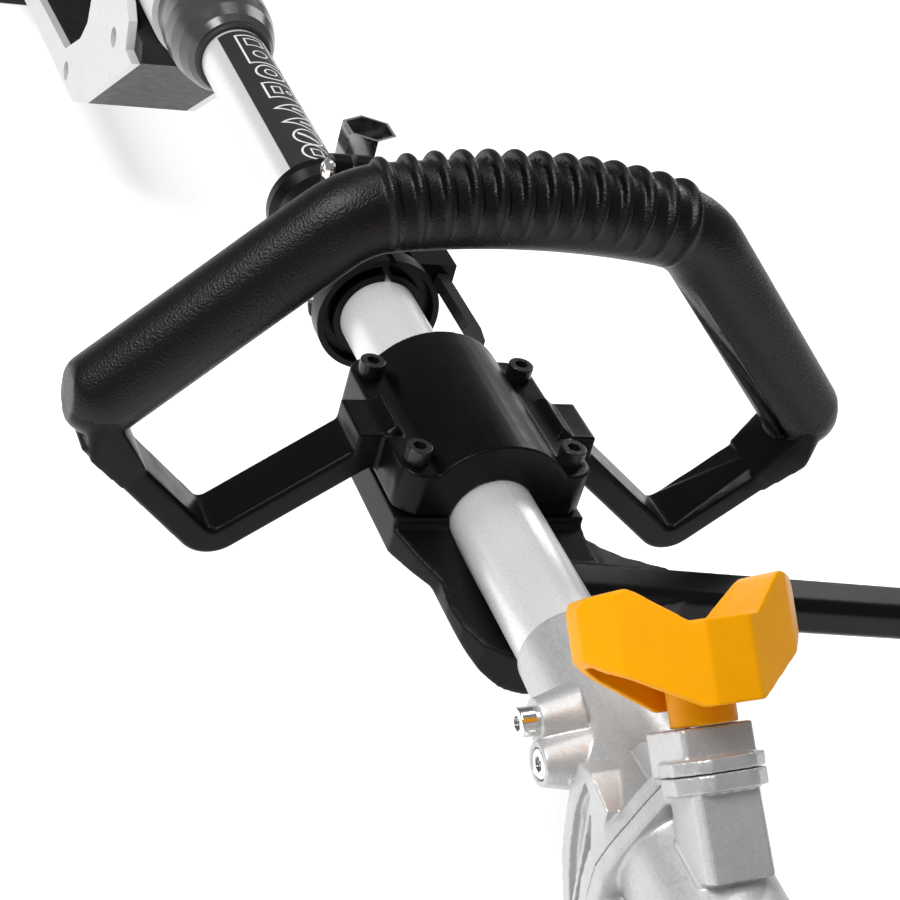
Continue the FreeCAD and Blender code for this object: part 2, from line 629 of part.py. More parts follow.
def gear_head():
    socket = turned_x([(838, 0), (838, 18), (842, 19.5), (884, 19.5), (884, 0)])
    bosses = fused(cyl_y(-25, 0, 6.2, 848, 0), cyl_y(-25, 0, 6.2, 864, 0))
    ball = Part.makeSphere(27.5, V(GEAR_X, 0, 0))
    neck = on_head(fused(cyl_z(-39, 0, 21.0), cyl_z(-38, -32, 33.0)))
    ribs = [prism_xz([(878, 16), (GEAR_X, 26), (GEAR_X + 26, 6), (GEAR_X + 22, 2), (GEAR_X, 12), (878, 8)], y, y + 3)
            for y in (-14, -1.5, 11)]
    body = fused(socket, bosses, ball, neck, *ribs)
    body = cut(body, cyl_x(830, 871, TUBE_R), cyl_x(860, 886, 12.0), Part.makeSphere(23.2, V(GEAR_X, 0, 0)))
    body = cut(body, on_head(cyl_z(-45, -10, 13.0)), cyl_y(-40, -5, 2.5, 848, 0), cyl_y(-40, -5, 2.5, 864, 0))
    holes = [on_head(cyl_z(-45, -30, 2.55, x, y)) for x, y in guard_screw_places()]
    return cut(body, *holes)


def ball_bearing(r_out, r_in, width):
    outer = ring_z(0, width, r_out, r_out - 2.2)
    inner = ring_z(0, width, r_in + 2.2, r_in)
    shield = ring_z(1, width - 1, r_out - 2.2, r_in + 2.2)
    return fused(outer, inner, shield)


def gear_head_bearings():
    """Three like ball bearings: one behind the pinion and two on the output shaft."""
    wide = ball_bearing(13.0, 5.05, 8)
    upper = on_head(moved(wide, z=-24.5))
    lower = on_head(moved(wide, z=-38))
    behind = moved(spun(ball_bearing(12.0, SHAFT_R + 0.05, 8), V(0, 0, 0), V(0, 1, 0), 90), 872.5)
    return group([upper, lower, behind])


def guard_screw_places():
    return [(-27, -7), (-27, 7)]


def guard():
    """Sector plate behind the head with a skirt round its edge."""
    half_span = 74.0
    start = 180 - half_span

    def sector(r, z0, z1):
        wedge = Part.makeCylinder(r, z1 - z0, V(0, 0, z0), V(0, 0, 1), 2 * half_span)
        return spun(wedge, V(0, 0, 0), V(0, 0, 1), start)

    plate = sector(GUARD_R, -41.5, -38).cut(cyl_z(-50, -30, 21.3))
    skirt = sector(GUARD_R, -75, -38).cut(cyl_z(-80, -30, GUARD_R - 3))
    ribs = []
    for angle in (-50, -25, 0, 25, 50):
        rib = box(-GUARD_R + 1, -36, -1.2, 1.2, -38.5, -33)
        ribs.append(spun(rib, V(0, 0, 0), V(0, 0, 1), angle))
    body = fused(plate, skirt, *ribs)
    body = cut(body, cyl_z(-38, -20, 33.2), *[cyl_z(-50, -30, 2.7, x, y) for x, y in guard_screw_places()])
    body = body.cut(spun(cutter_holes(), V(0, 0, 0), V(0, 0, 1), CUTTER_ANGLE))
    return on_head(body)


def guard_screws():
    screw = spun(button_screw(9), V(0, 0, 0), V(1, 0, 0), 180)
    plate_screws = [moved(screw, x, y, -41.5) for x, y in guard_screw_places()]
    short = spun(button_screw(4.5), V(0, 0, 0), V(0, 1, 0), 90)
    cutter_screws = [spun(moved(short, CUTTER_X + 1.5, 0, z), V(0, 0, 0), V(0, 0, 1), CUTTER_ANGLE) for z in CUTTER_ROWS]
    return group([on_head(s) for s in plate_screws + cutter_screws])


CUTTER_ANGLE = 66.0
CUTTER_X = -(GUARD_R - 3.6)
CUTTER_ROWS = (-50, -66)


def line_cutter():
    plate = box(CUTTER_X, CUTTER_X + 1.5, -9, 9, -74.5, -45)
    blade = box(CUTTER_X, CUTTER_X + 12, -9, -7.5, -74.5, -45)
    body = fused(plate, blade).cut(cutter_holes())
    return on_head(spun(body, V(0, 0, 0), V(0, 0, 1), CUTTER_ANGLE))


def cutter_holes():
    return group([Part.makeCylinder(2.55, 20, V(-GUARD_R - 5, 0, z), V(1, 0, 0)) for z in CUTTER_ROWS])


# ---- trimmer head ----
def coil_spring(radius, wire_r, height, turns):
    """A coil of wire with an eight-sided section."""
    coil = Part.Wire(Part.makeHelix(height / turns, height, radius))
    corners = []
    for n in range(9):
        angle = math.radians(45 * n + 22.5)
        corners.append(V(radius + wire_r * math.cos(angle), 0, wire_r * math.sin(angle)))
    return coil.makePipeShell([Part.makePolygon(corners)], True, True)


def head_housing():
    shell = turned_z([(0, -46), (40, -46), (HEAD_R, -52), (HEAD_R, -80), (HEAD_R - 3, -80), (HEAD_R - 3, -54),
                      (39, -49.5), (12, -49.5), (12, -64), (0, -64)])
    eyelets = [cyl_y(side * 50 - 10, side * 50 + 10, 4.0, 0, -72) for side in (-1, 1)]
    grips = [spun(cyl_z(-80, -55, 4.5, HEAD_R + 1.5, 0), V(0, 0, 0), V(0, 0, 1), a) for a in range(45, 360, 90)]
    body = fused(shell, *grips)
    body = cut(body, turned_z([(12, -49.5), (39, -49.5), (HEAD_R - 3, -54), (HEAD_R - 3, -81), (12, -81)]))
    return on_head(cut(body, cyl_z(-70, -40, 5.0), *eyelets))


def head_cap():
    shell = turned_z([(27, -92), (HEAD_R - 3, -92), (HEAD_R - 3, -80), (HEAD_R, -80), (HEAD_R, -91),
                      (HEAD_R - 4, -95), (27, -95)])
    grips = [spun(cyl_z(-92, -80, 4.5, HEAD_R + 1.5, 0), V(0, 0, 0), V(0, 0, 1), a) for a in range(45, 360, 90)]
    grips = [grip.cut(cyl_z(-95, -75, HEAD_R - 1)) for grip in grips]
    return on_head(fused(shell, *grips))


def line_spool():
    """Spool and bump knob in one moulding."""
    profile = [(13, -57), (52, -57), (52, -59), (20, -59), (20, -84), (52, -84), (52, -86), (26, -86), (26, -104),
               (22, -108), (8, -109.5), (0, -109.5), (0, -72), (13, -72)]
    return on_head(turned_z(profile))


def trimmer_line():
    return on_head(turned_z([(20, -59.4), (38, -59.4), (39, -62), (39, -81), (38, -83.6), (20, -83.6)]))


def line_eyelets():
    eyelet = turned_z([(1.4, -4), (2.8, -4), (3.9, -3), (3.9, 2), (5.2, 3), (5.2, 4.5), (2.6, 5), (1.4, 4)])
    placed = []
    for side in (-1, 1):
        lying = spun(eyelet, V(0, 0, 0), V(1, 0, 0), -90 * side)
        placed.append(moved(lying, 0, side * (HEAD_R - 1.0), -72))
    return on_head(group(placed))


def head_spring():
    return on_head(moved(coil_spring(15.0, 0.7, 5.6, 3), z=-56.2))


# ---- rear unit ----
REAR_X0 = -640.0          # front of the motor housing
REAR_X1 = -797.0
BARREL_X1 = -333.0        # front of the barrel
LOOP_OUTER = [(-338, -20), (-334, -28), (-407, -85), (-420, -91), (-575, -97), (-650, -99), (-650, -20)]
LOOP_INNER = [(-417, -26), (-417, -48), (-425, -60), (-449, -77), (-530, -82), (-548, -70), (-553, -50), (-553, -26)]
LOOP_COVER = [(-359, -10), (-351, -16), (-348, -28.5), (-335.5, -29.2), (-407, -85), (-420, -91), (-575, -97),
              (-650, -99), (-650, -10)]
MOTOR_X0 = -743.0
MOTOR_X1 = -673.0
CORE_X0 = -731.0          # the motor's iron
CORE_X1 = -685.0


def motor_shell(grow):
    """Round motor housing standing on the battery bay."""
    top = cyl_x(REAR_X1, REAR_X0 + grow, MOTOR_HY + grow)
    bay = box(REAR_X1, REAR_X0 + grow, -MOTOR_HY - grow, MOTOR_HY + grow, FLOOR_Z, 0)
    bay = rounded_edges(bay, 8, lambda e: runs_along(e, V(1, 0, 0)) and e.BoundBox.ZMax < FLOOR_Z + 1)
    return fused(top, bay)


def grip_core():
    """Barrel core and D-shaped loop."""
    barrel = cyl_x(-650, BARREL_X1, BARREL_R - 3.1)
    loop = prism_xz(LOOP_OUTER, -CORE_HY, CORE_HY).cut(prism_xz(LOOP_INNER, -30, 30))
    return fused(barrel, loop)


def bearing_plates():
    """Two plates across the motor housing that hold the motor's bearings."""
    plates = [ring_x(x, x + 8, MOTOR_HY - 3.4, 13) for x in (MOTOR_X0 - 18, MOTOR_X1 + 8)]
    return fused(*plates)


def vents():
    return [box(x, x + 3, -60, 60, 12, 30) for x in range(-725, -675, 9)]


def loop_rooms():
    """Hollows that leave the loop a thick moulded wall: nose, lower rail and neck."""
    nose = prism_xz([(-346, -30), (-410, -80), (-418, -83), (-421.5, -64), (-413.5, -50), (-413.5, -27), (-346, -27)], -17, 17)
    rail = prism_xz([(-434, -84), (-450, -80.5), (-531, -85.5), (-558, -84), (-558, -92.5), (-430, -88.5)], -17, 17)
    neck = box(-636, -557, -17, 17, -92.5, -26)
    return fused(nose, rail, neck)


def housing():
    outer = fused(grip_core(), motor_shell(0))
    rear_room = fused(cyl_x(-794, -778, 36), box(-794, -778, -36, 36, -44, 0))
    motor_room = fused(cyl_x(-775, REAR_X0 - 3, MOTOR_HY - 3.5), box(-775, REAR_X0 - 3, -40.5, 40.5, -48, 0))
    barrel_room = fused(cyl_x(-648, TUBE_X0 - 1, 15.5), box(-500, -425, -11, 11, -26, 0))
    tube_seat = cyl_x(TUBE_X0 - 1, -300, TUBE_R)
    bay = box(REAR_X1 - 1, -665, -40, 40, -132, -56)
    front_room = box(-656, -643, -40, 40, -136, -52)
    top_hole = box(-497, -473, -6.5, 6.5, 10, 30)
    body = cut(outer, motor_room, rear_room, barrel_room, tube_seat, bay, front_room, top_hole, loop_rooms())
    trigger_slot = box(-478, -430, -7, 7, -40, -10)
    latch_notch = box(-797.5, -791, -10, 10, -57, -51)
    terminal_seat = box(-667, -659, -20, 20, -105, -75)
    shaft_way = cyl_x(-655, -635, 7)
    spring_shelf = box(-467, -457, -16, 16, -5.6, -4.5)
    return cut(fused(body, spring_shelf, bearing_plates()), trigger_slot, latch_notch, terminal_seat, shaft_way, *vents())


def halves(shape):
    left = shape.common(box(-900, 0, 0, 100, -200, 100))
    right = shape.common(box(-900, 0, -100, 0, -200, 100))
    return left, right


def side_covers():
    """White covers: a shell round the barrel and plates on the loop and the motor housing."""
    barrel = ring_x(-417, BARREL_X1, BARREL_R, BARREL_R - 3.0)
    rear_barrel = ring_x(-638, -417, BARREL_R, BARREL_R - 3.0)
    rear_barrel = cut(rear_barrel, box(-645, -417, -6.8, 6.8, -40, 0), box(-498, -472, -6.8, 6.8, 0, 40))
    loop = prism_xz(LOOP_COVER, CORE_HY, CORE_HY + COVER_T).cut(prism_xz(LOOP_INNER, 20, 40))
    loop = cut(loop, cyl_x(-700, -300, BARREL_R - 3.0), motor_shell(0))
    shell = cut(motor_shell(COVER_T), motor_shell(0), grip_core())
    shell = shell.common(box(REAR_X1, REAR_X0 + COVER_T, 14, 80, -124, 80))
    shell = cut(shell, *vents())
    half = box(-900, 0, 0, 100, -200, 100)
    left = fused(fused(barrel, rear_barrel).common(half).cut(grip_core()), loop, shell)
    return left, mirrored_y(left)


def front_collar():
    bulb = turned_x([(-288, 0), (-288, 16.4), (-291, 18.6), (-297, 21.0), (-305, 22.7), (-313, 23.2), (-322, 22.8),
                     (BARREL_X1, 21.9), (BARREL_X1, 0)])
    return bulb.cut(cyl_x(-340, -260, TUBE_R + CLAMPED))


def collar_ring():
    return turned_x([(-285, 14.05), (-285, 15.4), (-286, 16.2), (-287.9, 16.2), (-287.9, 14.05)])


def housing_screw_places():
    """X, Z, the Y of the screw's seat and of the surface above it, and the shank's length."""
    loop = [(x, z, CORE_HY - 2, CORE_HY + COVER_T, 5.0) for x, z in [(-370, -33), (-441, -85), (-600, -88)]]
    shell = [(x, z, MOTOR_HY, MOTOR_HY + COVER_T, 4.5) for x, z in [(-660, -118), (-780, -118)]]
    return loop + shell


def housing_screws():
    out = []
    for x, z, seat, surface, length in housing_screw_places():
        screw = socket_screw(2.8, 2.4, 1.5, length, 2.0)
        out.append(moved(spun(screw, V(0, 0, 0), V(1, 0, 0), -90), x, seat, z))
        out.append(moved(spun(screw, V(0, 0, 0), V(1, 0, 0), 90), x, -seat, z))
    return group(out)


def screw_recesses():
    out = []
    for x, z, seat, surface, length in housing_screw_places():
        out += [cyl_y(seat, surface + 1, 4.7, x, z), cyl_y(-surface - 1, -seat, 4.7, x, z)]
    return out


def with_screw_holes(shape):
    shape = shape.cut(screw_recesses())
    for screw in housing_screws().Solids:
        shape = shape.cut(screw)
    return shape


def motor_stator():
    ring = ring_x(CORE_X0, CORE_X1, 33, 22)
    feet = [box(CORE_X0 + 3, CORE_X1 - 3, -40.2, -31, -4, 4), box(CORE_X0 + 3, CORE_X1 - 3, 31, 40.2, -4, 4)]
    windings = [ring_x(x, x + 6, 30, 24) for x in (CORE_X0 - 6, CORE_X1)]
    return fused(ring, *feet, *windings)


def motor_rotor():
    drum = cyl_x(CORE_X0 + 2, CORE_X1 - 2, 21.2)
    shaft = cyl_x(MOTOR_X0 - 22, -648, 5.0)
    hub = cyl_x(-656.6, -631, 6.4)
    return fused(drum, shaft, hub).cut(cyl_x(-641, -625, SHAFT_R))


def motor_bearings():
    out = []
    for x in (MOTOR_X0 - 18, MOTOR_X1 + 8):
        bearing = ball_bearing(13, 5.05, 8)
        out.append(moved(spun(bearing, V(0, 0, 0), V(0, 1, 0), 90), x))
    return group(out)


def motor_fan():
    blades = []
    for n in range(9):
        blade = box(-773, -768, 8, 32, -1, 1)
        blades.append(spun(blade, V(0, 0, 0), V(1, 0, 0), 40 * n))
    disc = ring_x(-774, -772, 32, 5.0)
    hub = ring_x(-774, -765.2, 9, 5.0)
    return fused(disc, hub, *blades)


def control_board():
    board = box(-765, -675, -32, 32, -47.5, -45.5)
    chips = [box(-755, -730, -20, 5, -45.5, -42), box(-715, -690, -5, 22, -45.5, -41.5)]
    return fused(board, *chips)


def terminal_block():
    body = box(-666.5, -659.2, -19.8, 19.8, -104.8, -75.2)
    blades = [box(-677, -666, y - 0.5, y + 0.5, -98, -82) for y in (-12, 0, 12)]
    return fused(body, *blades)


def battery_pack():
    core = box(-801, -668, -38.2, 38.2, -130.2, -56.8)
    plate = box(-827, -797.6, -MOTOR_HY, MOTOR_HY, FLOOR_Z + 2, -46)
    plate = rounded_edges(plate, 8, lambda e: runs_along(e, V(1, 0, 0)) or e.BoundBox.XMax < -826)
    pocket = box(-815, -797, -9, 9, -62.5, -40)
    slots = [box(-679, -665, y - 1.2, y + 1.2, -100, -80) for y in (-12, 0, 12)]
    return cut(fused(core, plate), pocket, *slots)


def battery_latch():
    button = box(-814.6, -801.4, -8.7, 8.7, -57.6, -44)
    tongue = box(-802, -797.9, -8.7, 8.7, -50, -46.4)
    return fused(button, tongue)


def trigger():
    """Pivots at its rear end; the front lifts into the grip."""
    lever = prism_xz([(-474, -12), (-433, -12), (-431, -19), (-433, -30), (-440, -37), (-446, -36), (-452, -28),
                      (-474, -21)], -6.2, 6.2)
    pivot = cyl_y(-6.2, 6.2, 5, -474, -16.5)
    return cut(fused(lever, pivot), cyl_y(-10, 10, 2.05, -474, -16.5))


def trigger_spring():
    return moved(coil_spring(2.6, 0.35, 5.2, 3), -462, 0, -11.5)


def trigger_switch():
    body = box(-462, -440, -10, -6.6, -18, -8)
    pivot = cyl_y(-10.9, 10.9, 2.0, -474, -16.5)
    return group([body, pivot])


def lock_off_button():
    button = box(-495, -475, -6, 6, 12.5, 28)
    return rounded_edges(button, 2.5, lambda e: e.BoundBox.ZMin > 27)


# ---- write every piece ----
save("upper_tube", upper_tube())
save("pictogram_label", pictogram_label())
save("upper_shaft_bushes", shaft_bushes((-330, -60, 128)))
save("harness_clamp", harness_clamp())
save("harness_clamp_screw", harness_clamp_screw())
save("harness_eye", harness_eye())
save("spanner_socket", spanner_socket())
save("spanner_bar", spanner_bar())
save("loop_handle", loop_handle())
save("barrier_bar", barrier_bar())
save("handle_screws", handle_screws())
save("handle_nuts", handle_nuts())
save("upper_joint_casting", on_joint(upper_joint_casting()))
save("upper_joint_screws", on_joint(upper_joint_screws()))
save("lower_joint_casting", on_joint(lower_joint_casting()))
save("hinge_pin", on_joint(hinge_pin()))
save("lock_bolt", on_joint(lock_bolt()))
save("lock_knob", on_joint(lock_knob()))
save("upper_coupling", upper_coupling())
save("lower_coupling", lower_coupling())
save("upper_drive_shaft", upper_drive_shaft())
save("lower_drive_shaft", lower_drive_shaft())
save("pinion", pinion())
save("output_gear", output_gear())
save("output_shaft", output_shaft())
save("lower_tube", lower_tube())
save("lower_shaft_bushes", shaft_bushes((262, 545, 832)))
save("lower_clamp_screws", lower_clamp_screws())
save("gear_head", gear_head())
save("gear_head_bearings", gear_head_bearings())
save("guard", guard())
save("guard_screws", guard_screws())
save("line_cutter", line_cutter())
save("head_housing", head_housing())
save("head_cap", head_cap())
save("line_spool", line_spool())
save("trimmer_line", trimmer_line())
save("line_eyelets", line_eyelets())
save("head_spring", head_spring())
left_half, right_half = halves(housing())
left_cover, right_cover = side_covers()
left_collar, right_collar = halves(front_collar())
save("housing_left", with_screw_holes(left_half))
save("housing_right", with_screw_holes(right_half))
save("side_cover_left", with_screw_holes(left_cover))
save("side_cover_right", with_screw_holes(right_cover))
save("housing_screws", housing_screws())
save("front_collar_left", left_collar)
save("front_collar_right", right_collar)
save("collar_ring", collar_ring())
save("motor_stator", motor_stator())
save("motor_rotor", motor_rotor())
save("motor_bearings", motor_bearings())
save("motor_fan", motor_fan())
save("control_board", control_board())
save("terminal_block", terminal_block())
save("battery_pack", battery_pack())
save("battery_latch", battery_latch())
save("trigger", trigger())
save("trigger_spring", trigger_spring())
save("trigger_switch", trigger_switch())
save("lock_off_button", lock_off_button())
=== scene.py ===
import json
import math
import bmesh
import bpy
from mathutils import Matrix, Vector


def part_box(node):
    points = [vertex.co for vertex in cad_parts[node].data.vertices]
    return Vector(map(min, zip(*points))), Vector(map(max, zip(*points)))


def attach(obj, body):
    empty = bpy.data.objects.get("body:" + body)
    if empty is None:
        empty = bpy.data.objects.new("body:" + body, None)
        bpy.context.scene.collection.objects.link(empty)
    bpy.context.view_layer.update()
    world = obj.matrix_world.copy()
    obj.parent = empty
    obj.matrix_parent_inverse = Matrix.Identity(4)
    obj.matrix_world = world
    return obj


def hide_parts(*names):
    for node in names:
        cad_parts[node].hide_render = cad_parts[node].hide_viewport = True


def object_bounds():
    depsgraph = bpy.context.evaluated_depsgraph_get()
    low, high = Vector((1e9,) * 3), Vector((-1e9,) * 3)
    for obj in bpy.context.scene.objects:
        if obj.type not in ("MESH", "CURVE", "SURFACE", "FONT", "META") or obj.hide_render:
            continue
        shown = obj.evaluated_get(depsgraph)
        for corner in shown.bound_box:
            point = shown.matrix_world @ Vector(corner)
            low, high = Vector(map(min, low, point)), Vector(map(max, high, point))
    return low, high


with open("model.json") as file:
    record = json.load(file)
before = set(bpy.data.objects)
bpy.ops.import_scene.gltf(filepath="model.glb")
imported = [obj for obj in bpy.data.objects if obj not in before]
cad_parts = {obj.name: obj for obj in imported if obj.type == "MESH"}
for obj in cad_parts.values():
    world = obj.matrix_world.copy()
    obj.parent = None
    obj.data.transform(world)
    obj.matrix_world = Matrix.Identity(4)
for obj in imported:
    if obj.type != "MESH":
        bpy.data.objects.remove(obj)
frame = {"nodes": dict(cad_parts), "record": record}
CAD_BOX = [list(corner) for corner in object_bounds()]
NODES = frame["nodes"]
SLOT_OF = {part["node"]: part["material_slot"] for part in frame["record"]["subparts"]}
BODY_OF = {
    node: body
    for body, nodes in frame["record"]["behaviour"]["bodies"].items()
    for node in nodes
}

MM = 0.001
# The middle of the loop-handle clamp, on the shaft axis, in metres from the hole of the harness eye
SHAFT = Vector((0.140, 0.0, 0.030))


def add_object(name, data):
    obj = bpy.data.objects.new(name, data)
    bpy.context.collection.objects.link(obj)
    return obj


def place(x, y, z):
    """A point given in mm from the middle of the loop-handle clamp, on the shaft axis."""
    return SHAFT + Vector((x, y, z)) * MM


# ---------------------------------------------------------------- materials
class Graph:
    """A small helper that adds nodes to one material."""

    def __init__(self, name):
        self.material = bpy.data.materials.new(name)
        self.material.use_nodes = True
        self.nodes = self.material.node_tree.nodes
        self.links = self.material.node_tree.links
        self.shader = self.nodes["Principled BSDF"]
        coordinates = self.nodes.new("ShaderNodeTexCoord")
        self.place = coordinates.outputs["Object"]

    def add(self, kind, **values):
        node = self.nodes.new(kind)
        for key, value in values.items():
            if key in node.inputs:
                node.inputs[key].default_value = value
            else:
                setattr(node, key, value)
        return node

    def link(self, source, target):
        self.links.new(source, target)

    def feed(self, socket, source):
        """Joins an output to one of the shader's sockets."""
        self.link(source, self.shader.inputs[socket])

    def noise(self, scale, detail=3.0, roughness=0.55, stretch=None):
        node = self.add("ShaderNodeTexNoise", Scale=scale, Detail=detail, Roughness=roughness)
        self.link(self.stretched(stretch), node.inputs["Vector"])
        return node.outputs["Fac"]

    def cells(self, scale, stretch=None):
        node = self.add("ShaderNodeTexVoronoi", Scale=scale, feature="SMOOTH_F1")
        self.link(self.stretched(stretch), node.inputs["Vector"])
        return node.outputs["Distance"]

    def stretched(self, stretch):
        if stretch is None:
            return self.place
        mapping = self.add("ShaderNodeMapping")
        mapping.inputs["Scale"].default_value = stretch
        self.link(self.place, mapping.inputs["Vector"])
        return mapping.outputs["Vector"]

    def ramp(self, source, low, high, at=(0.3, 0.7)):
        """Spreads the values between the two in at over low to high."""
        node = self.add("ShaderNodeMapRange")
        node.inputs["From Min"].default_value = at[0]
        node.inputs["From Max"].default_value = at[1]
        node.inputs["To Min"].default_value = low
        node.inputs["To Max"].default_value = high
        self.link(source, node.inputs["Value"])
        return node.outputs["Result"]

    def blend(self, source, dark, light, at=(0.35, 0.65)):
        """Turns the values between the two in at into colours from dark to light."""
        node = self.add("ShaderNodeValToRGB")
        node.color_ramp.elements[0].position = at[0]
        node.color_ramp.elements[1].position = at[1]
        node.color_ramp.elements[0].color = (*dark, 1.0)
        node.color_ramp.elements[1].color = (*light, 1.0)
        self.link(source, node.inputs["Fac"])
        return node.outputs["Color"]

    def bump(self, *layers):
        """Each layer is (height, strength, distance in metres)."""
        normal = None
        for height, strength, distance in layers:
            node = self.add("ShaderNodeBump", Strength=strength, Distance=distance)
            self.link(height, node.inputs["Height"])
            if normal is not None:
                self.link(normal, node.inputs["Normal"])
            normal = node.outputs["Normal"]
        self.feed("Normal", normal)

    def set(self, **values):
        for key, value in values.items():
            self.shader.inputs[key.replace("_", " ")].default_value = value


# How many marks of each noise there are in a metre
COLOUR_PATCHES, GLOSS_PATCHES, METAL_PATCHES = 60.0, 180.0, 35.0
CAST_SPECKS, CAST_PEEL, CAST_SCRATCHES, CAST_PATCHES = 2600.0, 900.0, 240.0, 45.0


def shade(colour, factor):
    return tuple(min(1.0, channel * factor) for channel in colour)


def plastic(name, colour, roughness, grain, grain_depth, spread=0.12, specular=0.5):
    """Moulded plastic: a pebbled grain of that size in metres, with uneven gloss and colour."""
    g = Graph(name)
    patches = g.noise(COLOUR_PATCHES, 4.0)
    g.feed("Base Color", g.blend(patches, shade(colour, 1 - spread), shade(colour, 1 + spread)))
    g.feed("Roughness", g.ramp(g.noise(GLOSS_PATCHES, 3.0), roughness - 0.05, roughness + 0.06))
    g.bump((g.cells(1 / grain), 1.0, grain_depth), (g.noise(2.2 / grain, 2.0), 0.5, grain_depth * 0.5))
    g.set(Specular_IOR_Level=specular)
    return g.material


def metal(name, colour, roughness, speck, depth, spread, metallic=1.0, stretch=None):
    """Metal or metallic paint with fine specks of that size in metres and soft patches."""
    g = Graph(name)
    fine = g.noise(1 / speck, 3.0, 0.7, stretch)
    broad = g.noise(METAL_PATCHES, 4.0)
    mix = g.add("ShaderNodeMath", operation="MULTIPLY")
    g.link(fine, mix.inputs[0])
    g.link(g.ramp(broad, 0.85, 1.15), mix.inputs[1])
    tone = g.blend(mix.outputs[0], shade(colour, 1 - spread), shade(colour, 1 + spread))
    g.feed("Base Color", tone)
    g.feed("Roughness", g.ramp(fine, roughness - 0.06, roughness + 0.08))
    g.bump((fine, 0.6, depth))
    g.set(Metallic=metallic)
    return g.material


def grained(name, colour, roughness, cell, depth, specular):
    """Leather-like moulded grain: rounded pebbles crossed by finer wrinkles."""
    g = Graph(name)
    pebbles = g.cells(1 / cell)
    wrinkles = g.noise(0.9 / cell, 4.0, 0.65)
    g.feed("Base Color", g.blend(pebbles, shade(colour, 0.75), shade(colour, 1.35), (0.1, 0.6)))
    g.feed("Roughness", g.ramp(wrinkles, roughness - 0.05, roughness + 0.09))
    g.bump((pebbles, 0.9, depth), (wrinkles, 0.7, depth * 0.8))
    g.set(Specular_IOR_Level=specular)
    return g.material


def casting(name, colour, roughness):
    """Painted die casting: orange-peel pits, fine specks, soft patches and faint tool scratches."""
    g = Graph(name)
    specks = g.noise(CAST_SPECKS, 3.0, 0.75)
    peel = g.noise(CAST_PEEL, 2.0)
    scratches = g.noise(CAST_SCRATCHES, 3.0, 0.6, (0.6, 0.6, 12.0))
    patches = g.noise(CAST_PATCHES, 4.0)
    tone = g.add("ShaderNodeMath", operation="MULTIPLY")
    g.link(g.ramp(specks, 0.75, 1.15), tone.inputs[0])
    g.link(g.ramp(patches, 0.88, 1.08), tone.inputs[1])
    g.feed("Base Color", g.blend(tone.outputs[0], shade(colour, 0.72), shade(colour, 1.12), (0.6, 1.2)))
    g.feed("Roughness", g.ramp(peel, roughness - 0.06, roughness + 0.08))
    g.bump((scratches, 0.35, 0.00008), (peel, 0.5, 0.00006), (specks, 0.5, 0.00002))
    g.set(Metallic=0.55)
    return g.material


LOOKS = {
    "tube_silver": (metal, dict(
        colour=(0.76, 0.762, 0.765), roughness=0.30, metallic=0.35, speck=0.0004, depth=0.00002,
        spread=0.03)),
    "label_black": (plastic, dict(
        colour=(0.018, 0.018, 0.02), roughness=0.35, grain=0.0004, grain_depth=0.000004)),
    "label_white": (plastic, dict(
        colour=(0.80, 0.80, 0.80), roughness=0.40, grain=0.0005, grain_depth=0.000004,
        spread=0.03)),
    "black_plastic": (plastic, dict(
        colour=(0.0022, 0.0022, 0.0024), roughness=0.32, grain=0.0006, grain_depth=0.00001,
        spread=0.2, specular=0.14)),
    "black_grip": (grained, dict(
        colour=(0.002, 0.002, 0.0022), roughness=0.34, cell=0.00065, depth=0.00014, specular=0.26)),
    "black_bar": (grained, dict(
        colour=(0.002, 0.002, 0.0022), roughness=0.38, cell=0.0005, depth=0.00006, specular=0.15)),
    "dark_grey_plastic": (plastic, dict(
        colour=(0.022, 0.0215, 0.0215), roughness=0.42, grain=0.0006, grain_depth=0.000012,
        spread=0.12, specular=0.2)),
    "collar_grey": (plastic, dict(
        colour=(0.045, 0.044, 0.044), roughness=0.24, grain=0.0006, grain_depth=0.000006,
        spread=0.1, specular=0.6)),
    "white_plastic": (plastic, dict(
        colour=(0.60, 0.60, 0.605), roughness=0.32, grain=0.0008, grain_depth=0.00001,
        spread=0.02)),
    "yellow_plastic": (plastic, dict(
        colour=(0.90, 0.37, 0.0), roughness=0.38, grain=0.0009, grain_depth=0.000008, spread=0.03,
        specular=0.12)),
    "cast_aluminium": (casting, dict(colour=(0.52, 0.522, 0.525), roughness=0.40)),
    "steel_zinc": (metal, dict(
        colour=(0.80, 0.79, 0.78), roughness=0.14, speck=0.0008, depth=0.00001, spread=0.05)),
    "steel_dark": (metal, dict(
        colour=(0.02, 0.02, 0.02), roughness=0.26, metallic=0.3, speck=0.0005, depth=0.00002,
        spread=0.2)),
    "steel_plain": (metal, dict(
        colour=(0.52, 0.52, 0.53), roughness=0.30, speck=0.0006, depth=0.00001, spread=0.08,
        stretch=(1, 12, 12))),
    "rubber": (plastic, dict(
        colour=(0.008, 0.008, 0.008), roughness=0.62, grain=0.0005, grain_depth=0.00002)),
    "nylon_white": (plastic, dict(
        colour=(0.72, 0.69, 0.62), roughness=0.40, grain=0.0008, grain_depth=0.00001, spread=0.04)),
    "copper_red": (metal, dict(
        colour=(0.55, 0.20, 0.08), roughness=0.35, metallic=0.9, speck=0.0006, depth=0.00005,
        spread=0.2, stretch=(8, 1, 1))),
    "board_green": (plastic, dict(
        colour=(0.02, 0.14, 0.05), roughness=0.35, grain=0.0015, grain_depth=0.00001)),
    "line_yellow": (plastic, dict(
        colour=(0.80, 0.45, 0.03), roughness=0.40, grain=0.0020, grain_depth=0.0002)),
}
MATERIALS = {name: make(name, **values) for name, (make, values) in LOOKS.items()}


def paint(obj, slot):
    obj.data.materials.clear()
    obj.data.materials.append(MATERIALS[slot])


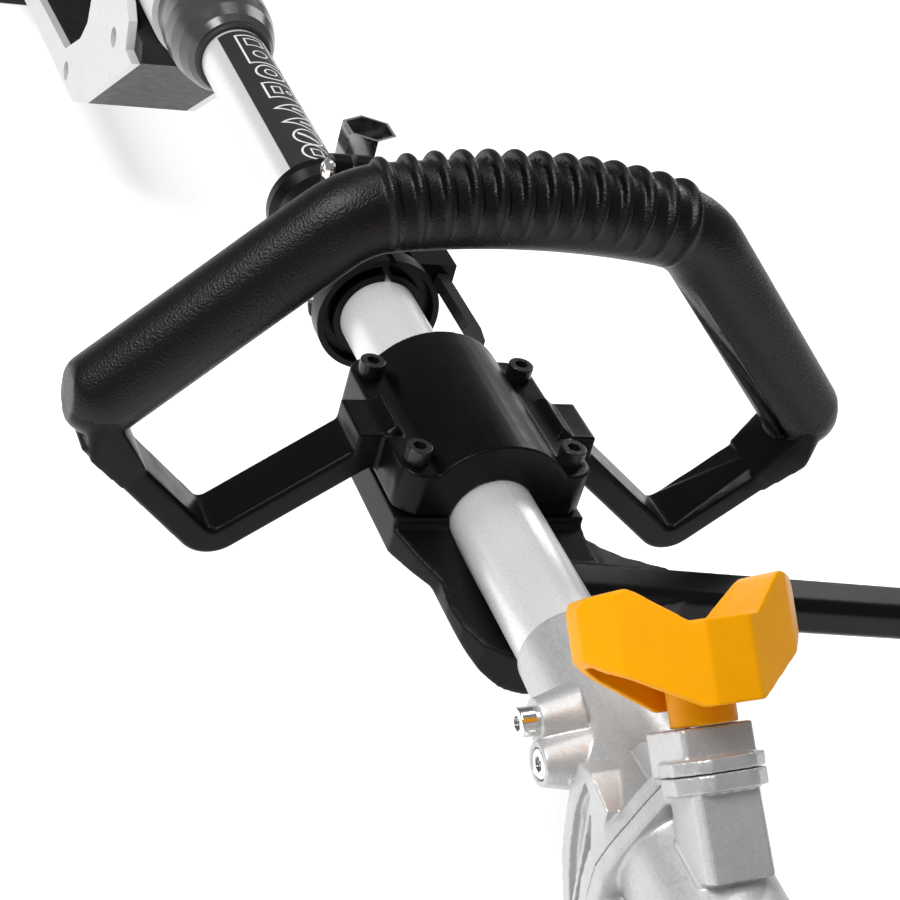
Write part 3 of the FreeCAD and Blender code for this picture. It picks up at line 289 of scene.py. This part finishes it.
for node, slot in SLOT_OF.items():
    for material_slot in NODES[node].material_slots:
        material_slot.material = MATERIALS[slot]
for half in ("front_collar_left", "front_collar_right"):
    NODES[half].material_slots[0].material = MATERIALS["collar_grey"]


# ---------------------------------------------------------------- moulded and cast pieces
def softened(node, voxel, rounds, faces, look=None, reshape=None):
    """A copy of a node with the rounded edges and fillets that a mould leaves. It stands for the node.

    The voxels are in mm, rounds says how often the surface is smoothed, and faces is about how many
    triangles may be left.
    """
    data = NODES[node].data.copy()
    if reshape:
        reshape(data)
    piece = add_object("moulded_" + node, data)
    remesh = piece.modifiers.new("remesh", "REMESH")
    remesh.mode = "VOXEL"
    remesh.voxel_size = voxel * MM
    smooth = piece.modifiers.new("smooth", "SMOOTH")
    smooth.factor = 0.5
    smooth.iterations = rounds
    triangles = 2 * len(evaluated(piece).polygons)
    if triangles > faces:
        fewer = piece.modifiers.new("fewer", "DECIMATE")
        fewer.ratio = faces / triangles
    mesh = evaluated(piece)
    piece.modifiers.clear()
    piece.data = mesh
    mesh.shade_smooth()
    paint(piece, look or SLOT_OF[node])
    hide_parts(node)
    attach(piece, BODY_OF[node])
    return piece


def evaluated(obj):
    graph = bpy.context.evaluated_depsgraph_get()
    return bpy.data.meshes.new_from_object(obj.evaluated_get(graph))


# Loop handle, in mm: the grip's round lower ends, and the flat arms that leave them
LOOP_X = 1.3
ELBOW_Y, ELBOW_Z, ELBOW_R = 121.0, 22.1, 13.1
ELBOW_FLAT_Y = 131.2
ARM_HALF_X, ARM_HALF_T = 10.0, 4.7
ARM_DOWN = Vector((0.0, -0.726, -0.688))
GRIP_DOWN = Vector((0.0, 0.703, -0.711))
ARM_TOP = Vector((LOOP_X, 123.5, 11.4))
RIM_POINTS = 32
# The shoulder's two sections on the arm: how far down each is, and how much wider than the arm on a side
SHOULDER_SECTIONS = ((4, 1.6), (20, 0.0))
# Where the grip's grain starts, in metres: on the sides above the arms, and everywhere above the clamp
GRAIN_UP, GRAIN_BESIDE, GRAIN_ALL_UP = 0.050, 0.045, 0.075


def shape_elbows(mesh):
    """Flattens the elbows' outer sides and fills a shoulder between the round grip and the flat arm."""
    limit = ELBOW_FLAT_Y * MM
    for vertex in mesh.vertices:
        vertex.co.y = max(-limit, min(limit, vertex.co.y))
    work = bmesh.new()
    work.from_mesh(mesh)
    outward = Vector((1, 0, 0)).cross(GRIP_DOWN)
    across_arm = Vector((1, 0, 0)).cross(ARM_DOWN)
    for side in (-1, 1):
        points = []
        for n in range(RIM_POINTS):
            angle = 2 * math.pi * n / RIM_POINTS
            rim = Vector((math.cos(angle), 0, 0)) + outward * math.sin(angle)
            points.append(Vector((LOOP_X, ELBOW_Y, ELBOW_Z)) + rim * ELBOW_R)
        for reach, wider in SHOULDER_SECTIONS:
            for a in (-ARM_HALF_X - wider, ARM_HALF_X + wider):
                for b in (-ARM_HALF_T, ARM_HALF_T):
                    points.append(ARM_TOP + ARM_DOWN * reach + Vector((a, 0, 0)) + across_arm * b)
        corners = [work.verts.new(place(q.x, side * min(q.y, ELBOW_FLAT_Y), q.z)) for q in points]
        bmesh.ops.convex_hull(work, input=corners)
    work.to_mesh(mesh)
    work.free()


def make_handle():
    """The grip is grained; the flat arms and the clamp are satin."""
    loop = softened("loop_handle", voxel=0.6, rounds=5, faces=90000, reshape=shape_elbows)
    loop.data.materials.append(MATERIALS["black_grip"])
    for face in loop.data.polygons:
        beside, up = abs(face.center.y), face.center.z
        grained_here = up > GRAIN_UP and (beside > GRAIN_BESIDE or up > GRAIN_ALL_UP)
        face.material_index = 1 if grained_here else 0
    softened("barrier_bar", voxel=0.7, rounds=6, faces=40000, look="black_bar")


def make_joint():
    """The two cast halves of the fold joint and the wing knob that locks them."""
    softened("upper_joint_casting", voxel=0.45, rounds=5, faces=60000)
    softened("lower_joint_casting", voxel=0.45, rounds=5, faces=50000)
    softened("lock_knob", voxel=0.45, rounds=6, faces=40000)


# ---------------------------------------------------------------- marks on the shaft
# A sharp corner's strip may be at most 1 / MITRE_LIMIT times as wide as a straight one
MITRE_LIMIT = 0.6
# The label's pictures, in mm: x is along the shaft from the clamp, arc runs round the tube
LABEL_MIDDLE, LABEL_HALF, LABEL_SINK = 2.2, 6.6, 0.01
TRIANGLES = (-214.5, -203)
TRIANGLE_HALF = 5.6
DISC, SQUARE_RING, BAR_RING = -245.5, -178, -190.5
FRAME_WIDTH, FRAME_THICKNESS = 0.85, 0.06
SHAPE_WIDTH, SHAPE_THICKNESS = 0.7, 0.05


def dense(corners, step=1.5):
    """A closed outline with points at most a step apart, so that it can follow the tube."""
    points = []
    for n, corner in enumerate(corners):
        start, end = Vector(corner), Vector(corners[(n + 1) % len(corners)])
        count = max(1, math.ceil((end - start).length / step))
        points += [start.lerp(end, k / count) for k in range(count)]
    return points


def strips_on_tube(name, loops, radius, width, thickness, look):
    """Raised closed lines round the shaft.

    A loop's points are (x, arc) in mm; arc runs from the top to the left.
    """
    work = bmesh.new()
    for loop in loops:
        rows = []
        for n, here in enumerate(loop):
            first = (here - loop[n - 1]).normalized()
            second = (loop[(n + 1) % len(loop)] - here).normalized()
            along = (first + second).normalized()
            across = Vector((-along.y, along.x))
            half = 0.5 * width / max(MITRE_LIMIT, across.dot(Vector((-first.y, first.x))))
            row = []
            for side, lift in ((-half, 0), (-half, thickness), (half, thickness), (half, 0)):
                spot = here + across * side
                angle = spot.y / radius
                reach = radius + lift
                point = place(spot.x, reach * math.sin(angle), reach * math.cos(angle))
                row.append(work.verts.new(point))
            rows.append(row)
        for one, two in zip(rows, rows[1:] + rows[:1]):
            for k in range(4):
                work.faces.new((one[k], one[(k + 1) % 4], two[(k + 1) % 4], two[k]))
    bmesh.ops.recalc_face_normals(work, faces=work.faces)
    data = bpy.data.meshes.new(name)
    work.to_mesh(data)
    work.free()
    piece = add_object(name, data)
    paint(piece, look)
    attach(piece, "powerhead")


def ring(x, arc, reach, corners=28):
    """A circle's outline."""
    turns = [2 * math.pi * n / corners for n in range(corners)]
    return [(x + reach * math.cos(a), arc + reach * math.sin(a)) for a in turns]


def block(x0, x1, arc0, arc1):
    """A rectangle's outline."""
    return [(x0, arc0), (x1, arc0), (x1, arc1), (x0, arc1)]


def make_label():
    """A column of plain white shapes: frames, rings and triangles with bars and dots in them."""
    radius = (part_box("pictogram_label")[1].z - SHAFT.z) / MM - LABEL_SINK
    middle, half = LABEL_MIDDLE, LABEL_HALF
    low, high = middle - half, middle + half
    frames = [
        block(-279, -254, low, high),
        ring(DISC, middle, half - 0.4),
        block(-236, -223.5, low, high),
    ]
    frames += [[(x, low - 0.5), (x + TRIANGLE_HALF, high), (x - TRIANGLE_HALF, high)] for x in TRIANGLES]
    frames += [ring(BAR_RING, middle, half - 0.6), ring(SQUARE_RING, middle, half - 0.6)]
    shapes = [
        block(-276, -270, low + 3, high - 3),
        ring(-262, middle, 3.0, 16),
        ring(DISC, middle, 2.6, 14),
        block(-232.5, -227, low + 3, middle),
        ring(-229.5, high - 3.2, 1.2, 10),
    ]
    shapes += [block(x - 0.4, x + 0.4, middle + 0.5, high - 2) for x in TRIANGLES]
    shapes += [
        [(-193.5, low + 3), (-192.5, low + 3), (-187.5, high - 3), (-188.5, high - 3)],
        block(-180.5, -175.5, middle - 2.2, middle + 2.2),
    ]
    for name, loops, width, thickness in (
        ("label_frames", frames, FRAME_WIDTH, FRAME_THICKNESS),
        ("label_shapes", shapes, SHAPE_WIDTH, SHAPE_THICKNESS),
    ):
        strips_on_tube(name, [dense(loop) for loop in loops], radius, width, thickness, "label_white")


# ---------------------------------------------------------------- stage, lights, camera
CAMERA_AT = (0.6545, -0.2846, 0.3968)
CAMERA_TURN = (57.0, -14.16, 70.34)
LENS, SENSOR = 86.02, 36.0
CLIP_NEAR, CLIP_FAR = 0.05, 60.0
# Name, place in metres, size in metres and power in watts
LAMPS = (
    ("key", (0.30, -1.15, 1.70), (1.0, 0.7), 32),
    ("top", (-0.5, 0.1, 2.0), (0.9, 0.6), 9),
    ("rim", (-1.0, 1.2, 0.9), (0.4, 0.9), 6),
)
LIT_POINT = (0.15, 0.0, 0.05)
FLOOR_SIZE, FLOOR_GAP, FLOOR_GLOW = 40, 0.0005, 0.5
PAPER_DARK, PAPER_LIGHT = (0.90, 0.90, 0.90), (0.93, 0.93, 0.93)
WHITE = (1, 1, 1, 1)
WORLD_STRENGTH = 0.26


def make_camera():
    data = bpy.data.cameras.new("camera")
    data.lens = LENS
    data.sensor_width = SENSOR
    data.clip_start, data.clip_end = CLIP_NEAR, CLIP_FAR
    camera = add_object("camera", data)
    camera.location = CAMERA_AT
    camera.rotation_euler = [math.radians(a) for a in CAMERA_TURN]
    bpy.context.scene.camera = camera


def make_light(name, location, size, power):
    """A rectangular lamp that faces the middle of the machine."""
    data = bpy.data.lights.new(name, "AREA")
    data.shape = "RECTANGLE"
    data.size, data.size_y = size
    data.energy = power
    lamp = add_object(name, data)
    lamp.location = location
    direction = Vector(LIT_POINT) - Vector(location)
    lamp.rotation_mode = "QUATERNION"
    lamp.rotation_quaternion = direction.to_track_quat("-Z", "Y")


def make_floor():
    """White paper just under the lowest point. It glows a little, as a lit backdrop does."""
    bpy.ops.mesh.primitive_plane_add(size=FLOOR_SIZE, location=(0, 0, CAD_BOX[0][2] - FLOOR_GAP))
    floor = bpy.context.object
    floor.name = "floor"
    g = Graph("floor_paper")
    g.feed("Base Color", g.blend(g.noise(1.5, 2.0), PAPER_DARK, PAPER_LIGHT))
    g.set(Roughness=0.9, Emission_Color=WHITE, Emission_Strength=FLOOR_GLOW)
    floor.data.materials.append(g.material)


def make_world():
    world = bpy.data.worlds.new("world")
    bpy.context.scene.world = world
    world.use_nodes = True
    background = world.node_tree.nodes["Background"]
    background.inputs["Color"].default_value = WHITE
    background.inputs["Strength"].default_value = WORLD_STRENGTH


bpy.context.scene.view_settings.view_transform = "Standard"
make_handle()
make_joint()
make_label()
make_camera()
make_floor()
make_world()
for lamp in LAMPS:
    make_light(*lamp)
